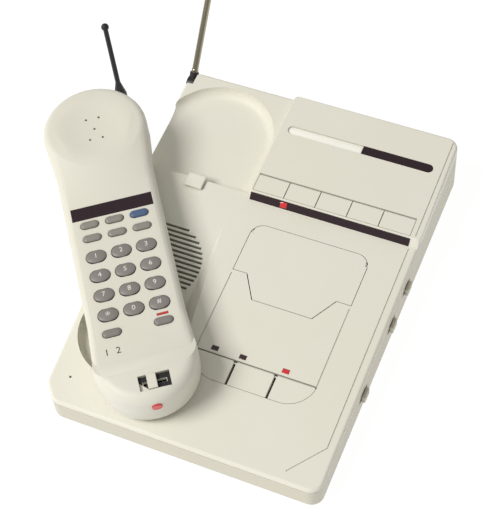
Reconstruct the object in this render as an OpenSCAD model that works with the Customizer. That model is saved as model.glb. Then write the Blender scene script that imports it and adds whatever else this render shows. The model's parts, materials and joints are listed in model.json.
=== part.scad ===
// Cordless telephone: a base station with a tape answering machine, and its handset lying across it.
// X runs to the right, Y to the rear and Z up. The origin is on the table under the middle of the base.

/* [Base] */
// Width of the base at its rear edge
base_w = 191.5; // [188:0.5:198]
// Narrowing of the base on its left side towards the front
left_taper = 11.5; // [9:0.5:13]
// Depth of the base from front to rear
base_d = 258; // [252:1:272]
// Height of the deck above the table at the front edge
front_h = 20; // [19:0.5:22]
// Height of the deck above the table at the rear edge
back_h = 36; // [34:0.5:40]
// Radius of the upright corners of the base
corner_r = 8; // [6:0.5:12]
// Rounding of the deck's outer edge
edge_round = 2; // [1:0.25:2.5]
// Thickness of the deck of the top case
deck_t = 3.2; // [3:0.1:4]
// Thickness of the walls and the floor of the bottom case
wall = 2; // [1.8:0.1:2.2]
// Height of the rubber feet
foot_h = 2; // [1:0.25:4]
// Radius of the rubber feet
foot_r = 7; // [5:0.5:9]
// Distance of the feet from the edges of the base
foot_inset = 22; // [16:1:30]

/* [Rear block] */
// Length of the raised rear block, from the right edge
block_l = 115; // [110:1:118]
// Distance of the foot of the block's sloped face from the rear edge
block_d = 85.5; // [80:0.5:90]
// Height of the block above the deck
block_h = 4.5; // [4:0.25:6]
// Width of the plain strip along the right edge
strip_w = 6; // [5:0.5:8]
// Number of message keys
key_count = 5; // [3:1:7]
// Depth of a message key, front to back
key_d = 11.6; // [9:0.2:13]
// Press angle of the message keys
key_angle = 5; // [2:0.5:6]
// Length of the window slot in the rear block
pill_l = 100; // [80:1:104]
// Width of the window slot
pill_w = 6.6; // [5:0.2:8]
// Length of the dark window in the slot
window_l = 48; // [30:1:60]
// Distance of the window slot from the rear edge
pill_d = 27.5; // [22:0.5:34]

/* [Tape compartment and paddles] */
// Width of the panel with the tape lid and the paddles
panel_w = 79; // [74:0.5:82]
// Distance of the panel from the right edge
panel_x = 25; // [24:0.5:30]
// Distance from the foot of the rear block to the panel's rear edge
panel_gap = 14.5; // [13:0.5:18]
// Depth of the tape lid at its sides
lid_d = 37; // [36:0.5:40]
// Corner radius at the rear of the tape lid
lid_r = 9; // [7:0.5:9]
// Length of the lid's finger tongue
tongue_d = 16.5; // [10:0.5:20]
// Width of the tongue at its root
tongue_w = 60; // [40:1:66]
// Slant of the tongue's sides
tongue_slant = 10; // [4:0.5:14]
// Thickness of the tape lid
lid_t = 2.4; // [2:0.1:3]
// Opening angle of the tape lid
lid_angle = 80; // [60:5:90]
// Distance from the lid's rear edge to the panel's front edge
panel_d = 112.5; // [108:0.5:116]
// Corner radius at the front of the panel
panel_r = 18.5; // [12:0.5:20]
// Depth of the paddles
paddle_d = 15.6; // [14:0.2:16.5]
// Radius of the hinge rods
rod_r = 0.8; // [0.6:0.05:0.9]
// Radius of the hinge barrels
barrel_r = 1.5; // [1.4:0.05:1.55]
// Width of the status lenses
led_w = 4.6; // [3:0.2:6]
// Depth of the status lenses
led_d = 3.2; // [2.4:0.2:3.4]

/* [Cradle] */
// Distance of the ear pocket's centre from the left edge of the block
ear_x = 40.5; // [40:0.5:41.5]
// Distance of the ear pocket's centre from the rear edge
ear_y = 44.5; // [43.5:0.5:46]
// Radius of the ear pocket
ear_r = 39.5; // [37:0.5:39.5]
// Depth of the ear pocket
ear_depth = 7; // [6:0.5:9]
// Distance of the mouth pocket's centre from the left edge of the block
mouth_x = 31; // [30:0.5:32]
// Distance of the mouth pocket's centre from the front edge
mouth_y = 59; // [57:0.5:61]
// Radius of the mouth pocket
mouth_r = 33; // [31:0.5:34]
// Depth of the mouth pocket
mouth_depth = 8; // [7:0.5:9]
// Distance from the rear of the plateau to the start of the ramp
plateau_d = 26; // [24:0.5:30]
// Length of the ramp
ramp_l = 78; // [74:1:82]
// Drop of the ramp at its front end
ramp_drop = 7; // [5:0.5:7.5]
// Number of loudspeaker slots
slot_count = 17; // [9:2:17]
// Distance between loudspeaker slots
slot_pitch = 3.2; // [2.8:0.1:3.2]
// Radius of the round field of loudspeaker slots
grille_r = 27.5; // [26.5:0.5:28]
// Radius of the loudspeaker
speaker_r = 19; // [18:0.5:23]

/* [Aerial of the base] */
// Radius of the aerial's outer tube
tube_r = 2.2; // [2:0.1:2.6]
// Length of the aerial's outer tube
tube_l = 128; // [90:1:160]
// Lean of the aerial towards the rear
aerial_lean = 38; // [20:1:45]
// Height of the aerial's pivot above the table
aerial_z = 28.5; // [26:0.5:29]
// Radius of the aerial's pivot pin
pivot_r = 2; // [1.5:0.1:2.4]

/* [Handset] */
// Radius of the handset's ear end
hs_ear_r = 34; // [31:0.5:34]
// Half width of the handset at its waist
hs_waist_r = 30; // [28.5:0.5:30.5]
// Radius of the handset's mouth end
hs_mouth_r = 31.5; // [30:0.5:33]
// Distance from the key pad's middle to the centre of the ear end
hs_ear_v = 115.5; // [112:0.5:118]
// Distance from the key pad's middle to the centre of the mouth end
hs_mouth_v = 55; // [53:0.5:58]
// Thickness of the handset at the key pad
hs_t = 25; // [24:0.5:28]
// Rise of the ear end above the key pad
hs_ear_rise = 5; // [4:0.5:6]
// Rise of the mouth end above the key pad
hs_mouth_rise = 5; // [4.5:0.25:6]
// Wall thickness of the handset's cases
hs_wall = 2.4; // [2:0.1:2.8]
// Depth below the key pad where the two cases meet
hs_split = 11; // [10.5:0.25:12]
// Distance between key columns
col_pitch = 15.8; // [14.5:0.1:16.5]
// Distance between key rows
row_pitch = 14.1; // [12.5:0.1:14.5]
// Length of a digit key
digit_w = 12.6; // [10:0.2:13]
// Width of a digit key
digit_d = 8.8; // [7:0.2:9.4]
// Length of a function key
func_w = 11.6; // [9:0.2:12.6]
// Width of a function key
func_d = 5.2; // [4:0.2:6]
// Travel of the handset keys
key_travel = 0.9; // [0.5:0.1:0.9]
// Length of the handset's aerial outside the case
hs_aerial_l = 63; // [40:1:90]
// Width of the battery cover
cover_w = 40; // [34:0.5:42]
// Thickness of the battery cover
cover_t = 2; // [1.6:0.1:2.2]

/* [Placing and clearances] */
// Distance of the key pad's middle from the left edge of the block
hand_side = 38.5; // [37:0.5:40]
// Place of the key pad's middle on the deck, behind the base's middle
hand_y = -49.3; // [-52:0.5:-46]
// Turn of the handset on the deck
hand_turn = 35.5; // [32:0.5:38]
// Gap under the handset
hand_gap = 0.2; // [0.1:0.05:0.5]
// Gap around keys, paddles and lids
gap = 0.3; // [0.2:0.05:0.4]
// Radial gap of pins in their bores
pin_gap = 0.1; // [0.05:0.01:0.15]
// Turn smoothness of the round faces
round_steps = 64; // [32:8:96]

/* [Hidden] */
$fn = round_steps;
eps = 0.02;
xr = base_w / 2;
yb = base_d / 2;
yf = -yb;
deck_tilt = atan((back_h - front_h) / base_d);
deck_mid = (front_h + back_h) / 2;
tall = 80;
hull_steps = 40;

// Shares by which places on the deck follow the base when its width or depth changes
wide = base_w / 191.5;
deep = base_d / 258;

// Rear block, keys and windows, on the deck
block_x = xr - block_l * wide;
block_y = yb - block_d * deep;
key_x1 = xr - strip_w - 1;
key_x0 = block_x + 1.5;
key_pitch = (key_x1 - key_x0) / key_count;
key_front = block_y + block_h + 1.4;
key_axis_y = key_front + key_d;
pill_x1 = xr - strip_w - 3.5;
pill_y = yb - pill_d;
pill_depth = 1.2;
pill_long = pill_l * wide;

// Panel with the tape lid and the paddles, on the deck
lid_hinge = 6;
lid_gap = gap + 0.1;
panel_wide = panel_w * wide;
panel_x1 = xr - panel_x * wide;
panel_x0 = panel_x1 - panel_wide;
panel_mid = (panel_x0 + panel_x1) / 2;
lid_back = block_y - panel_gap * deep;
lid_axis_y = lid_back - lid_hinge;
lid_side_y = lid_back - lid_d;
panel_front = lid_back - panel_d * deep;
paddle_axis_y = panel_front + paddle_d;
paddle_x = [panel_x0, panel_x0 + panel_wide / 3, panel_x0 + panel_wide * 2 / 3, panel_x1];
led_y = paddle_axis_y + barrel_r + gap + led_d / 2 + 1.6;
paddle_gap = 1.2;
rod_z = -barrel_r;
rod_seat = 3.5;

// Cradle, on the deck
plateau_y = block_y + block_h;
ear_bowl_r = ear_r * wide;
ear_c = [block_x - ear_x * wide, yb - ear_y * wide];
ear_fillet = ear_depth - 0.5;
mouth_fillet = mouth_depth / 2;
mouth_bowl_r = mouth_r * wide;
mouth_c = [block_x - mouth_x * wide, yf + mouth_y * deep];
ramp_foot = block_x - 7.5;
ramp_side = 35;
ramp_y0 = plateau_y - plateau_d * deep;
ramp_y1 = ramp_y0 - ramp_l * deep;
ramp_tilt = atan(ramp_drop / (ramp_y0 - ramp_y1));
cup_t = 2;
cup_gap = 0.2;
grille_c = [block_x - 36.5 * wide, -38 * deep];
grille_round = grille_r * wide;
slot_step = slot_pitch * wide;
speaker_c = [grille_c[0], -speaker_r - 9];
speaker_h = 9;
hook_w = 12;
hook_x = ear_c[0] + 3.2;
hand_x = block_x - hand_side * wide;

// Bottom case
floor_z = foot_h + wall;
boss_r = 4.2;
screw_r = 1.5;
screw_head_r = 3;
screw_head_h = 2.4;
screw_l = 15;
boss_inset = 13;
screw_at = [[block_x - 36 * wide, yf + boss_inset], [xr - boss_inset, yf + boss_inset],
            [xr - boss_inset, yb - boss_inset], [block_x + 9, yb - boss_inset]];
boss_z = floor_z + 8;
foot_at = [[-xr + left_taper + foot_inset, yf + foot_inset], [xr - foot_inset, yf + foot_inset],
           [xr - foot_inset, yb - foot_inset], [-xr + foot_inset, yb - foot_inset], [0, 0]];
mic_at = [-xr + 24, yf + 18];
wall_slot_w = 4.6;
wall_slot_l = 12;
wall_slot_pitch = 100;
wall_slot_x = block_x + 8;
knob_y = [23, -5, -55];
knob_drop = 12;
knob_w = 8;
knob_h = 6;
knob_out = 2.2;
knob_travel = 3.5;
knob_neck = 3;
board_z = floor_z + 5;
board_t = 1.6;
board_x0 = panel_x0 + 4;
board_x1 = xr - 16;
board_y0 = yf + 24;
board_y1 = panel_front + 52;
socket_z = floor_z + 9;
line_x = xr - 60;
jack_x = xr - 34;
jack_r = 2.9;
jack_body_r = 5;
line_w = 12;
line_h = 9;
socket_depth = 12;

// Tape deck and cassette
tape_flange = 2;
tape_top = -deck_t;
tape_well_w = 62;
tape_well_d = 37;
tape_well_t = 11;
tape_box_h = 18;
cassette_w = 50;
cassette_d = 33;
cassette_t = 7;
spool_gap = 22;
spool_r = 2.2;
tape_wall = 2;
tape_well_y = lid_axis_y - 1.6 - tape_wall - tape_well_d / 2;

// Aerial of the base
aerial_y = yb - 4.5;
seat_x = -xr + 4.9;
pivot_end = seat_x + 9;
pivot_boss_r = 3.8;
knuckle_r = 4.6;
notch_y = aerial_y - knuckle_r - 1.4;
notch_z = aerial_z - knuckle_r - 1.2;
notch_t = 2;
socket_wall = 0.9;
aerial_seat = 5;
sleeve_l = 8;
knuckle_w = 2 * (tube_r + socket_wall);
aerial_x = seat_x - gap - knuckle_w / 2;
tip_r = tube_r - 0.6;
tip_travel = tube_l - 20;

// Handset
hs_round = 5;
hs_back_round = 8;
hs_mouth_round = 7;
hs_floor = hs_wall + 1.2;
neck_v = 88;
neck_r = 31;
belly_v = -25;
crease_v = 1;
crease_angle = 65;
dish_r = 22;
dish_depth = 1.8;
dish_ball = (dish_r * dish_r + dish_depth * dish_depth) / (2 * dish_depth);
ear_wall = 2.3;
ear_cap_r = 16;
hs_board_top = -7.9;
hs_board_t = 1.6;
func_v = [2.5 * row_pitch + 10, 2.5 * row_pitch];
low_v = -2.4 * row_pitch;
band_v = 54.5;
band_w = 52;
band_d = 9.6;
band_t = 0.9;
switch_u = 3;
switch_v = -hs_mouth_v - 19;
switch_w = 18.8;
switch_d = 10;
switch_knob = 5.6;
switch_depth = 2;
switch_travel = 5;
led_u = 1;
led_h = -3.2;
led_size = [6, 5];
hs_aerial_u = 21.5;
hs_aerial_h = -4;
hs_aerial_v = hs_ear_v + sqrt(hs_ear_r * hs_ear_r - hs_aerial_u * hs_aerial_u);
aerial_root_r = 4.2;
hs_rod_r = 1.7;
cover_v = 8;
cell_r = 5.2;
cell_l = 46;
cell_h = -hs_t + cover_t + 0.6 + cell_r;
cell_v = cover_v - 10 - cell_l / 2;
contact_v = -hs_mouth_v + 2;
contact_u = cover_w / 2 + 4.5;

ivory = [0.93, 0.91, 0.83];
beige = [0.70, 0.66, 0.56];
dark_key = [0.40, 0.40, 0.42];
black = [0.07, 0.07, 0.08];
red = [0.80, 0.12, 0.12];
steel = [0.75, 0.76, 0.78];
board_green = [0.10, 0.32, 0.18];

digit_at = [for (r = [0:3]) for (c = [0:2]) [(c - 1) * col_pitch, (1.5 - r) * row_pitch]];
func_at = [for (r = [0:1]) for (c = [0:2]) [(c - 1) * col_pitch, func_v[r]]];
low_at = [[-col_pitch, low_v], [col_pitch, low_v]];
digit_names = ["1", "2", "3", "4", "5", "6", "7", "8", "9", "star", "0", "hash"];

// Frames

module on_deck() {
    translate([0, 0, deck_mid]) rotate([deck_tilt, 0, 0]) children();
}

module on_ramp() {
    on_deck() translate([0, ramp_y0, 0]) rotate([ramp_tilt, 0, 0]) children();
}

module on_handset() {
    on_deck() translate([hand_x, hand_y * deep, hs_t + hand_gap]) rotate([0, 0, hand_turn]) children();
}

module on_aerial() {
    translate([aerial_x, aerial_y, aerial_z]) rotate([-aerial_lean, 0, 0]) children();
}

// Shared shapes

// Convex outline with round corners about the points c, listed counter-clockwise
module round_outline(c, r) {
    n = len(c);
    polygon([for (i = [0:n - 1])
        let (a = c[i], b = c[(i + 1) % n], d = (b - a) / norm(b - a), s = [d[1], -d[0]])
        each [a + r * s, b + r * s]]);
    for (p = c) translate(p) circle(r);
}

module stadium(w, d) {
    square([w - d, d], center = true);
    for (s = [-1, 1]) translate([s * (w - d) / 2, 0]) circle(d / 2);
}

module along_x(x0, x1, r) {
    translate([x0, 0, 0]) rotate([0, 90, 0]) cylinder(r = r, h = x1 - x0);
}

// Profile of a round disc from height z0 to z1 with rounded rims
function disc_profile(r, z0, z1, rb, rt, n = 5) = concat(
    [[0, z0]],
    [for (i = [0:n]) let (a = -90 + 90 * i / n) [r - rb + rb * cos(a), z0 + rb + rb * sin(a)]],
    [for (i = [0:n]) let (a = 90 * i / n) [r - rt + rt * cos(a), z1 - rt + rt * sin(a)]],
    [[0, z1]]);

module disc(r, z0, z1, rb, rt) {
    rotate_extrude($fn = hull_steps) polygon(disc_profile(r, z0, z1, rb, rt));
}

function base_corners() = [
    [-xr + left_taper + corner_r + 5, yf + corner_r], [xr - corner_r, yf + corner_r],
    [xr - corner_r, yb - corner_r], [-xr + corner_r, yb - corner_r], [-xr + corner_r, yb - 79 * deep],
    [-xr + left_taper + corner_r, yf + corner_r + 6]];

module base_outline(inset) {
    round_outline(base_corners(), corner_r - inset);
}

// Everything above the ramp's surface and its sloped side wall, lowered by drop
module ramp_space(drop) {
    on_ramp() rotate([90, 0, 0]) linear_extrude((ramp_y0 - ramp_y1) / cos(ramp_tilt))
        polygon([[-2 * xr, -drop], [ramp_foot, -drop],
                 [ramp_foot + tall / tan(ramp_side), tall - drop], [-2 * xr, tall - drop]]);
}

// Half of a bowl's section: radius r, depth d, bottom fillet f, from the middle outwards
function bowl_half(r, d, f, n = 6) = concat(
    [[0, tall], [0, -d]],
    [for (i = [0:n]) let (a = -90 + 90 * i / n) [r - f + f * cos(a), -d + f + f * sin(a)]],
    [[r, tall]]);

// Both halves of that section without its middle
function bowl_whole(h) = let (k = [for (i = [2:len(h) - 1]) h[i]], n = len(k))
    concat(k, [for (i = [n - 1:-1:0]) [-k[i][0], k[i][1]]]);

// Bowl of the cradle's ear end, straight at the front; its outer side lies grow further out
module ear_space(grow) {
    s = bowl_half(ear_bowl_r + grow, ear_depth + grow, ear_fillet + grow);
    on_deck() translate([ear_c[0], ear_c[1], 0]) {
        rotate_extrude(angle = 180) polygon(s);
        rotate([90, 0, 0]) linear_extrude(ear_c[1] - plateau_y + grow) polygon(bowl_whole(s));
    }
}

// Bowl of the cradle's mouth end
module mouth_space(grow) {
    on_deck() translate([mouth_c[0], mouth_c[1], 0]) rotate_extrude()
        polygon(bowl_half(mouth_bowl_r + grow, mouth_depth + grow, mouth_fillet + grow));
}

// Open notch for the aerial at the left rear corner, with walls of thickness t round it
module notch_space(t) {
    translate([-xr - 5, notch_y - t, notch_z - t]) cube([seat_x + xr + 5 + t, 20 + t, tall]);
}

// Base station

// Upright wall at the front end of the ramp
module ramp_end(margin) {
    on_deck() translate([-2 * xr, ramp_y1 - cup_t - margin, -ramp_drop - deck_t - margin])
        cube([ramp_foot + 2 * xr + 14, cup_t + margin, tall]);
}

module base_bottom_case() {
    color(beige) difference() {
        union() {
            difference() {
                intersection() {
                    translate([0, 0, foot_h]) linear_extrude(tall) base_outline(0);
                    on_deck() translate([-base_w, -base_d, -deck_t - tall]) cube([2 * base_w, 2 * base_d, tall]);
                }
                difference() {
                    translate([0, 0, floor_z]) linear_extrude(tall) base_outline(wall);
                    notch_space(notch_t);
                }
                ramp_space(deck_t);
                ramp_end(cup_gap);
                ear_space(cup_t + cup_gap);
                mouth_space(cup_t + cup_gap);
            }
            for (p = screw_at) translate([p[0], p[1], foot_h]) cylinder(r = boss_r, h = boss_z - foot_h);
            for (x = [board_x0 + 6, board_x1 - 6], y = [board_y0 + 6, board_y1 - 6])
                translate([x, y, foot_h]) cylinder(r = 3, h = board_z - foot_h);
            translate([0, aerial_y, aerial_z]) along_x(seat_x, pivot_end, pivot_boss_r);
            for (x = [line_x, jack_x]) translate([x - 8, yb - wall - 3 - socket_depth, foot_h])
                cube([16, socket_depth + 3, socket_z - foot_h - line_h / 2]);
        }
        for (p = screw_at) translate([p[0], p[1], 0]) {
            cylinder(r = screw_r + pin_gap, h = tall);
            cylinder(r = screw_head_r + gap, h = foot_h + screw_head_h + 0.6);
        }
        notch_space(0);
        translate([0, aerial_y, aerial_z]) {
            along_x(seat_x - 1, pivot_end + 1, pivot_r + pin_gap);
            along_x(pivot_end, pivot_end + 3, pivot_r + 1.2 + gap);
        }
        for (s = [-1, 1]) translate([wall_slot_x, s * wall_slot_pitch / 2, 0])
            linear_extrude(floor_z + 1) rotate(90) stadium(wall_slot_l, wall_slot_w);
        for (y = knob_y) translate([xr - wall / 2, y, knob_z(y)])
            cube([wall + 2, 2 * knob_travel + knob_w - 2 + 2 * gap, knob_neck + 2 * gap], center = true);
        translate([jack_x, yb + 1, socket_z]) rotate([90, 0, 0]) cylinder(r = jack_body_r, h = wall + 2);
        translate([line_x - line_w / 2 - 1, yb - wall - 1, socket_z - line_h / 2])
            cube([line_w + 2, wall + 2, line_h + 1]);
    }
}

function knob_z(y) = deck_mid + y * tan(deck_tilt) - knob_drop;

module deck_slab() {
    on_deck() hull() for (p = base_corners())
        translate([p[0], p[1] / cos(deck_tilt), 0]) disc(corner_r, -deck_t, 0, 0.2, edge_round);
}

module block_body() {
    left_r = 3;
    top_y = block_y + block_h;
    on_deck() hull() {
        translate([xr - corner_r, (yb - corner_r) / cos(deck_tilt), 0])
            disc(corner_r, -deck_t, block_h, 0.2, edge_round);
        translate([block_x + left_r, yb / cos(deck_tilt) - left_r, 0]) disc(left_r, -deck_t, block_h, 0.2, 1);
        for (x = [block_x + left_r, xr - left_r])
            translate([x, top_y + left_r, 0]) disc(left_r, -deck_t, block_h, 0.2, 0.5);
        translate([block_x + 0.5, block_y, -deck_t]) cube([xr - block_x - 1, 4, deck_t]);
    }
}

module panel_outline(inset) {
    r = panel_r - inset;
    translate([panel_x0 + inset, panel_front + panel_r])
        square([panel_wide - 2 * inset, lid_back - inset - panel_front - panel_r]);
    translate([panel_x0 + panel_r, panel_front + inset]) square([panel_wide - 2 * panel_r, panel_r]);
    for (x = [panel_x0 + panel_r, panel_x1 - panel_r]) translate([x, panel_front + panel_r]) circle(r);
}

module lid_outline(inset) {
    translate([panel_x0 + inset, lid_side_y + inset])
        square([panel_wide - 2 * inset, lid_back - lid_r - lid_side_y - inset]);
    translate([panel_x0 + lid_r, lid_back - lid_r - 1]) square([panel_wide - 2 * lid_r, lid_r + 1 - inset]);
    for (x = [panel_x0 + lid_r, panel_x1 - lid_r]) translate([x, lid_back - lid_r]) circle(lid_r - inset);
    h = tongue_w / 2 - inset;
    polygon([[panel_mid - h, lid_side_y + inset + eps],
             [panel_mid - h + tongue_slant, lid_side_y - tongue_d + inset],
             [panel_mid + h - tongue_slant, lid_side_y - tongue_d + inset],
             [panel_mid + h, lid_side_y + inset + eps]]);
}

module paddle_space(inset) {
    intersection() {
        panel_outline(inset);
        translate([panel_x0, panel_front]) square([panel_wide, paddle_d + barrel_r + gap - inset]);
    }
}

// Sloped dark strip under the message keys: length along the slope, and depth into it
module strip_bar(margin, depth, out) {
    n = [-1, 1] / sqrt(2);
    d = [1, 1] / sqrt(2);
    l = block_h * sqrt(2);
    a = [block_y, 0] + d * margin;
    b = [block_y, 0] + d * (l - margin);
    on_deck() translate([key_x1 + 0.6, 0, 0]) rotate([0, -90, 0]) linear_extrude(key_x1 - key_x0 + 0.9)
        polygon([for (p = [a - n * depth, b - n * depth, b + n * out, a + n * out]) [p[1], p[0]]]);
}

module pill_outline(x0) {
    intersection() {
        translate([pill_x1 - pill_long / 2, pill_y]) stadium(pill_long, pill_w);
        translate([x0, pill_y - pill_w]) square([pill_x1 - x0 + 1, 2 * pill_w]);
    }
}

module base_top_case() {
    lip_in = wall + gap;
    lip_t = 1.4;
    lip_h = 2;
    line_t = 0.8;
    line_deep = 0.5;
    color(ivory) difference() {
        union() {
            deck_slab();
            block_body();
            on_deck() translate([0, 0, -deck_t - lip_h]) linear_extrude(lip_h + 0.5) difference() {
                base_outline(lip_in);
                base_outline(lip_in + lip_t);
            }
            intersection() {
                union() {
                    ear_space(cup_t);
                    mouth_space(cup_t);
                    ramp_space(deck_t);
                    ramp_end(0);
                }
                on_deck() translate([-base_w, -base_d, -tall - 1]) cube([2 * base_w, 2 * base_d, tall]);
                on_deck() translate([0, 0, -tall / 2]) linear_extrude(tall) base_outline(0.3);
            }
            for (p = screw_at) intersection() {
                translate([p[0], p[1], boss_z]) cylinder(r = boss_r, h = tall);
                on_deck() translate([-base_w, -base_d, -tall - 1]) cube([2 * base_w, 2 * base_d, tall]);
            }
        }
        // pockets of the cradle
        ear_space(0);
        mouth_space(0);
        ramp_space(0);
        on_ramp() translate(grille_c) for (i = [0:slot_count - 1])
            let (y = (i - (slot_count - 1) / 2) * slot_step, h = sqrt(grille_round * grille_round - y * y))
            translate([-h, y - 0.8, -2 * deck_t]) cube([2 * h, 1.6, 4 * deck_t]);
        notch_space(0);
        intersection() {
            union() {
                notch_space(notch_t + gap);
                translate([seat_x, yb - lip_in - lip_t - 0.5, 0]) cube([pivot_end - seat_x + 3, 20, tall]);
            }
            on_deck() translate([-base_w, -base_d, -deck_t - tall + 0.1]) cube([2 * base_w, 2 * base_d, tall]);
        }
        on_deck() translate([hook_x - hook_w / 2 - gap, plateau_y - 6 - gap, -12])
            cube([hook_w + 2 * gap, 3 + 2 * gap, 20]);
        for (s = [-1, 1]) on_deck() translate([mouth_c[0] + s * 8, mouth_c[1], -tall / 2]) cylinder(r = 1.5, h = tall);
        // hollow of the rear block
        on_deck() translate([0, 0, -tall]) linear_extrude(tall + block_h - deck_t) round_outline(
            [[block_x + 6, key_front + 2], [xr - 8, key_front + 2], [xr - 8, yb - 8], [block_x + 6, yb - 8]], 3.5);
        // openings for the keys, the lid and the paddles
        on_deck() translate([key_x0, key_front - gap, -1])
            cube([key_x1 - key_x0, key_d + barrel_r + 2 * gap, tall]);
        on_deck() translate([0, 0, -tall / 2]) linear_extrude(tall) {
            lid_outline(0);
            paddle_space(0);
        }
        hinge_rods();
        // recesses for windows, lenses and seams
        strip_bar(0.6, 0.8, 3);
        on_deck() translate([0, 0, block_h - pill_depth]) linear_extrude(tall) pill_outline(-2 * xr);
        on_deck() translate([0, 0, -tall / 2]) linear_extrude(tall) for (x = led_x())
            translate([x - led_w / 2, led_y - led_d / 2]) square([led_w, led_d]);
        on_deck() translate([0, 0, -line_deep]) linear_extrude(tall) difference() {
            panel_outline(0);
            panel_outline(line_t);
            translate([panel_x0 - 1, lid_side_y - 2]) square([panel_wide + 2, base_d]);
        }
        on_deck() translate([xr - strip_w, yf + 28, -line_deep]) cube([line_t, block_y - yf - 29, tall]);
        on_deck() translate([xr - strip_w + line_t / 2, yf + 28.2, -line_deep]) rotate([0, 0, 231])
            translate([0, -line_t / 2, 0]) cube([27.5, line_t, tall]);
        on_deck() translate([xr - strip_w + 2, plateau_y + 2, block_h - line_deep])
            cube([line_t, yb - plateau_y - 2.5, tall]);
        on_deck() translate([mic_at[0], mic_at[1], -tall / 2]) cylinder(r = 0.8, h = tall);
        for (p = screw_at) translate([p[0], p[1], 0]) cylinder(r = screw_r, h = screw_l + 3);
    }
}

function led_x() = [paddle_x[0] + 11.5, paddle_x[1] + 3.5, paddle_x[2] + 5];

module hinge_rods() {
    color(steel) on_deck() {
        translate([0, lid_axis_y, rod_z]) along_x(panel_x0 - rod_seat, panel_x1 + rod_seat, rod_r);
        translate([0, paddle_axis_y, rod_z]) along_x(panel_x0 - rod_seat, panel_x1 + rod_seat, rod_r);
        translate([0, key_axis_y, block_h + rod_z]) along_x(key_x0 - 1, key_x1 + 2, rod_r);
    }
}

module tape_lid() {
    color(ivory) on_deck() difference() {
        union() {
            translate([0, 0, -lid_t]) linear_extrude(lid_t) difference() {
                lid_outline(lid_gap);
                for (x = [panel_x0 - 1, panel_x1 - 2]) translate([x, lid_axis_y - barrel_r]) square([3, 4]);
            }
            translate([0, lid_axis_y, rod_z]) along_x(panel_x0 + 1.5, panel_x1 - 1.5, barrel_r - 0.1);
        }
        translate([0, lid_axis_y, rod_z]) along_x(panel_x0 - 1, panel_x1 + 1, rod_r + pin_gap);
    }
}

module message_key(i) {
    x0 = key_x0 + (i - 1) * key_pitch + gap;
    x1 = key_x0 + i * key_pitch - gap;
    t = 2 * barrel_r;
    color(ivory) on_deck() translate([0, 0, block_h]) difference() {
        union() {
            translate([x0, key_front, -t]) cube([x1 - x0, key_d, t]);
            translate([0, key_axis_y, rod_z]) along_x(x0, x1, barrel_r);
            translate([(x0 + x1) / 2 - 3, key_front + 3, -t - 3]) cube([6, 3, 4]);
        }
        translate([0, key_axis_y, rod_z]) along_x(x0 - 1, x1 + 1, rod_r + pin_gap);
    }
}

module paddle(i) {
    t = 2 * barrel_r;
    x0 = paddle_x[i - 1] + (i > 1 ? paddle_gap : gap);
    x1 = paddle_x[i] - gap;
    color(ivory) on_deck() difference() {
        union() {
            translate([0, 0, -t]) linear_extrude(t) intersection() {
                panel_outline(gap);
                translate([x0, panel_front]) square([x1 - x0, paddle_d]);
            }
            translate([0, paddle_axis_y, rod_z]) along_x(x0 + 0.6, x1 - 0.6, barrel_r);
            translate([(x0 + x1) / 2 - 3, panel_front + 5, -t - 2]) cube([6, 3, 3]);
        }
        translate([0, paddle_axis_y, rod_z]) along_x(x0 - 1, x1 + 1, rod_r + pin_gap);
    }
}

module rubber_feet() {
    color(black) for (p = foot_at) translate([p[0], p[1], 0]) cylinder(r = foot_r, h = foot_h);
}

module case_screws() {
    color(steel) for (p = screw_at) translate([p[0], p[1], foot_h + 0.6]) difference() {
        union() {
            cylinder(r = screw_head_r, h = screw_head_h);
            cylinder(r = screw_r - 0.05, h = screw_l);
        }
        for (a = [0, 90]) rotate([0, 0, a]) translate([-2, -0.4, -1]) cube([4, 0.8, 2]);
    }
}

module main_board() {
    color(board_green) {
        translate([board_x0, board_y0, board_z])
            cube([board_x1 - board_x0, board_y1 - board_y0, board_t]);
        translate([board_x0 + 12, board_y0 + 30, board_z + board_t]) cube([26, 12, 3]);
        translate([board_x1 - 34, board_y0 + 12, board_z + board_t]) cube([24, 18, 5]);
        for (i = [0:2]) translate([board_x1 - 12 - 11 * i, board_y1 - 14, board_z + board_t]) cylinder(r = 3.5, h = 6);
        on_deck() translate([mic_at[0], mic_at[1], -deck_t - 5]) cylinder(r = 3, h = 5);
    }
}

module loudspeaker() {
    color(black) on_ramp() translate([speaker_c[0], speaker_c[1], -deck_t - speaker_h]) {
        translate([0, 0, speaker_h - 2.5]) cylinder(r = speaker_r, h = 2.5);
        translate([0, 0, 3]) cylinder(r1 = 12, r2 = speaker_r - 3, h = speaker_h - 5);
        cylinder(r = 12, h = 4);
    }
}

module dark_windows() {
    color(black) {
        strip_bar(0.6 + gap / 3, 0.8, 0.3);
        on_deck() translate([0, 0, block_h - pill_depth]) linear_extrude(pill_depth - 0.2)
            pill_outline(pill_x1 - window_l * wide);
    }
}

module status_lenses() {
    color(red) {
        on_deck() for (x = led_x())
            translate([x - led_w / 2 + gap / 3, led_y - led_d / 2 + gap / 3, -deck_t - 1.2])
                cube([led_w - gap * 2 / 3, led_d - gap * 2 / 3, deck_t + 1.4]);
    }
}

module charge_contacts() {
    color(steel) on_deck() for (s = [-1, 1]) translate([mouth_c[0] + s * 8, mouth_c[1], 0]) {
        translate([0, 0, -mouth_depth - cup_t - 2]) cylinder(r = 2.4, h = 2);
        translate([0, 0, -mouth_depth - cup_t - 1]) cylinder(r = 1.4, h = cup_t + 2);
    }
}

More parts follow.
